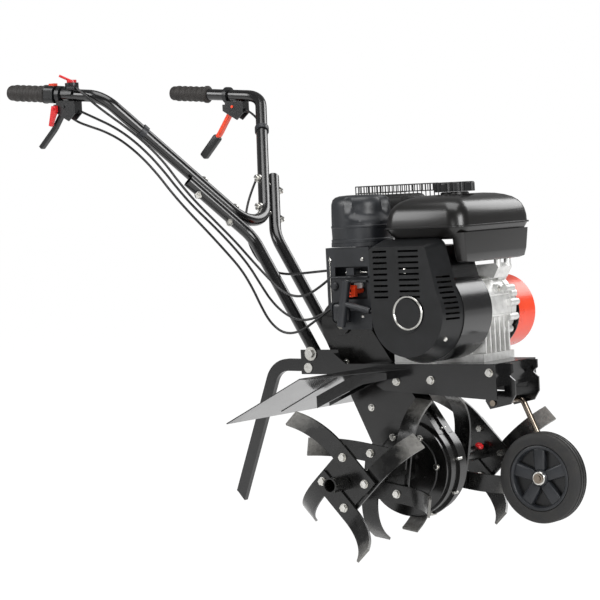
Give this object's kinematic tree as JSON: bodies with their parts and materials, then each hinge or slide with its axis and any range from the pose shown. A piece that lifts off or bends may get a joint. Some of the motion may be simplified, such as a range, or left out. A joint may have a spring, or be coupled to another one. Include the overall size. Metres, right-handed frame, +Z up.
{
  "type": "petrol tiller",
  "caption": "Front-tine petrol tiller with curved blade rotors, chain drive case, small engine, mud guards, V handlebar with hand levers, drag bar and a fold-up transport wheel.",
  "frame": {"origin": "on the floor under the middle of the machine's bounding box, with the lowest tine tips on Z = 0", "axes": "+X forwards, from the grips to the transport wheel; +Y to the operator's left, the belt guard's side; +Z up"},
  "size_m": [1.1654, 0.6462, 0.9701],
  "materials": {
    "powder_coat_black": "gloss powder coat",
    "chain_case_black": "semi gloss paint",
    "black_plastic": "satin",
    "grey_plastic": "satin",
    "orange_plastic": "gloss",
    "red_plastic": "gloss",
    "grip_rubber": "matt",
    "cable_sleeve": "satin",
    "cast_alloy": "as cast",
    "zinc": "zinc plated",
    "tine_steel": "painted steel, worn bright at the tips",
    "bare_steel": "ground",
    "tank_black": "gloss enamel",
    "muffler_black": "heat proof matt",
    "flywheel_iron": "machined",
    "belt_rubber": "matt",
    "tyre_rubber": "matt",
    "rod_chrome": "polished"
  },
  "bodies": {
    "frame": {"frame_bed": "powder_coat_black", "front_bracket": "powder_coat_black", "rear_bracket": "powder_coat_black", "steel_fasteners": "zinc", "fender_right": "powder_coat_black", "fender_left": "powder_coat_black", "fender_brackets": "powder_coat_black", "chain_case_right": "chain_case_black", "chain_case_left": "chain_case_black", "drive_chain": "bare_steel", "belt_guard_back": "powder_coat_black", "belt_guard_cover": "orange_plastic", "drive_belt": "belt_rubber", "lower_tubes": "powder_coat_black", "upper_handlebar": "powder_coat_black", "hand_grips": "grip_rubber", "cable_clips": "grey_plastic", "clutch_bracket": "black_plastic", "reverse_bracket": "black_plastic", "throttle_housing": "black_plastic", "switch_housing": "black_plastic", "cable_clutch": "cable_sleeve", "cable_throttle": "cable_sleeve", "cable_reverse": "cable_sleeve", "cable_switch": "cable_sleeve", "crankcase": "cast_alloy", "crankcase_cover": "cast_alloy", "cylinder_head": "cast_alloy", "fan_shroud": "powder_coat_black", "recoil_cover": "black_plastic", "fuel_tank": "tank_black", "tank_bracket": "cast_alloy", "air_cleaner_base": "grey_plastic", "air_cleaner_cover": "grey_plastic", "carburettor": "cast_alloy", "control_panel": "grey_plastic", "muffler": "muffler_black"},
    "tine_rotor": {"tine_shaft": "bare_steel", "tine_hubs": "tine_steel", "tine_blades": "tine_steel", "tine_bolts": "zinc"},
    "input_group": {"input_shaft": "bare_steel", "driven_pulley": "flywheel_iron"},
    "crank_group": {"crankshaft": "bare_steel", "flywheel": "flywheel_iron", "engine_pulley": "flywheel_iron"},
    "idler": {"idler_arm": "zinc"},
    "spur": {"drag_bar": "powder_coat_black"},
    "transport_arm": {"wheel_arm": "rod_chrome"},
    "transport_wheel": {"tyre": "tyre_rubber", "wheel_rim": "grey_plastic"},
    "clutch_hand_lever": {"clutch_lever": "black_plastic"},
    "catch": {"safety_catch": "red_plastic"},
    "reverse_hand_lever": {"reverse_lever": "orange_plastic"},
    "throttle_thumb_lever": {"throttle_lever": "red_plastic"},
    "rocker": {"switch_rocker": "orange_plastic"},
    "choke": {"choke_lever": "grey_plastic"},
    "valve": {"fuel_valve": "orange_plastic"},
    "cap": {"fuel_cap": "black_plastic"},
    "starter_handle": {"recoil_handle": "grey_plastic"}
  },
  "joints": [
    {"name": "tine_spin", "type": "hinge", "parent": "frame", "child": "tine_rotor", "pos_m": [0.2037, 0, 0.14376], "axis": [0, 1, 0], "continuous": true},
    {"name": "input_spin", "type": "hinge", "parent": "frame", "child": "input_group", "pos_m": [0.0567, 0, 0.43376], "axis": [0, 1, 0], "continuous": true},
    {"name": "crank_spin", "type": "hinge", "parent": "frame", "child": "crank_group", "pos_m": [0.3217, 0, 0.45976], "axis": [0, 1, 0], "continuous": true},
    {"name": "wheel_fold", "type": "hinge", "parent": "frame", "child": "transport_arm", "pos_m": [0.4177, 0, 0.27776], "axis": [0, 1, 0], "range_deg": [-70, 0]},
    {"name": "wheel_spin", "type": "hinge", "parent": "transport_arm", "child": "transport_wheel", "pos_m": [0.4937, 0, 0.12876], "axis": [0, 1, 0], "continuous": true},
    {"name": "drag_bar_swing", "type": "hinge", "parent": "frame", "child": "spur", "pos_m": [-0.0103, 0, 0.34676], "axis": [0, 1, 0], "range_deg": [0, 30]},
    {"name": "clutch_squeeze", "type": "hinge", "parent": "frame", "child": "clutch_hand_lever", "pos_m": [-0.4293, -0.275, 0.90376], "axis": [0, 1, 0], "range_deg": [0, 34], "stiffness_Nm_per_rad": 2},
    {"name": "idler_tension", "type": "hinge", "parent": "frame", "child": "idler", "pos_m": [0.2237, 0.112, 0.52376], "axis": [0, 1, 0], "range_deg": [-14, 0.5]},
    {"name": "catch_press", "type": "hinge", "parent": "frame", "child": "catch", "pos_m": [-0.4503, -0.275, 0.90076], "axis": [0, 1, 0], "range_deg": [-25, 0], "stiffness_Nm_per_rad": 0.1},
    {"name": "reverse_squeeze", "type": "hinge", "parent": "frame", "child": "reverse_hand_lever", "pos_m": [-0.4073, 0.275, 0.90076], "axis": [0, 1, 0], "range_deg": [0, 32], "stiffness_Nm_per_rad": 2},
    {"name": "throttle_turn", "type": "hinge", "parent": "frame", "child": "throttle_thumb_lever", "pos_m": [-0.4143, -0.275, 0.95476], "axis": [0, 0, 1], "range_deg": [-55, 15]},
    {"name": "stop_rock", "type": "hinge", "parent": "frame", "child": "rocker", "pos_m": [-0.46474, -0.275, 0.94762], "axis": [0, 1, 0], "range_deg": [-8, 8]},
    {"name": "choke_slide", "type": "slide", "parent": "frame", "child": "choke", "axis": [1, 0, 0], "range_m": [-0.035, 0.02]},
    {"name": "fuel_valve_turn", "type": "hinge", "parent": "frame", "child": "valve", "pos_m": [0.1677, -0.13, 0.50576], "axis": [0, 1, 0], "range_deg": [-60, 0]},
    {"name": "fuel_cap_turn", "type": "hinge", "parent": "frame", "child": "cap", "pos_m": [0.3337, -0.018, 0.69976], "axis": [0, 0, 1], "range_deg": [0, 90]},
    {"name": "starter_pull", "type": "slide", "parent": "frame", "child": "starter_handle", "axis": [-0.97, 0, 0.243], "range_m": [0, 0.15], "stiffness_N_per_m": 60}
  ],
  "couplings": [
    {"joint": "input_spin", "follows": "tine_spin", "ratio": 3.1111},
    {"joint": "idler_tension", "follows": "clutch_squeeze", "ratio": -0.4}
  ]
}
